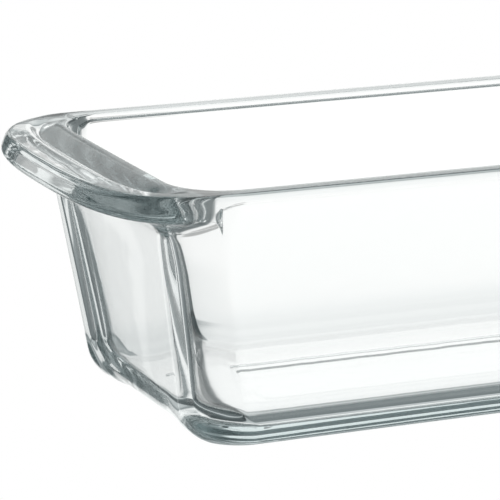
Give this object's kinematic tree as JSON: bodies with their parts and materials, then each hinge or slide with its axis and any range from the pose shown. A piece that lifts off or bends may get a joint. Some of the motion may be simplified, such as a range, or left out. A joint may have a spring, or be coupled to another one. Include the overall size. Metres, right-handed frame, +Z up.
{
  "type": "loaf pan",
  "caption": "Clear pressed-glass loaf pan: deep rectangular tub with drafted walls, rounded corners, a narrow rolled rim and a bowed ear handle with a thumb hollow at each end.",
  "frame": {"origin": "centre of the base, on the plane the pan stands on", "axes": "+X along the length, from one ear to the other; +Y across; +Z up, out of the mouth"},
  "size_m": [0.3094, 0.12, 0.08],
  "materials": {
    "clear_pressed_glass": "clear pressed glass, fire-polished, very faint grey-green tint in the thick rim and ears"
  },
  "bodies": {
    "root": {"glass_loaf_dish": "clear_pressed_glass"}
  },
  "joints": []
}
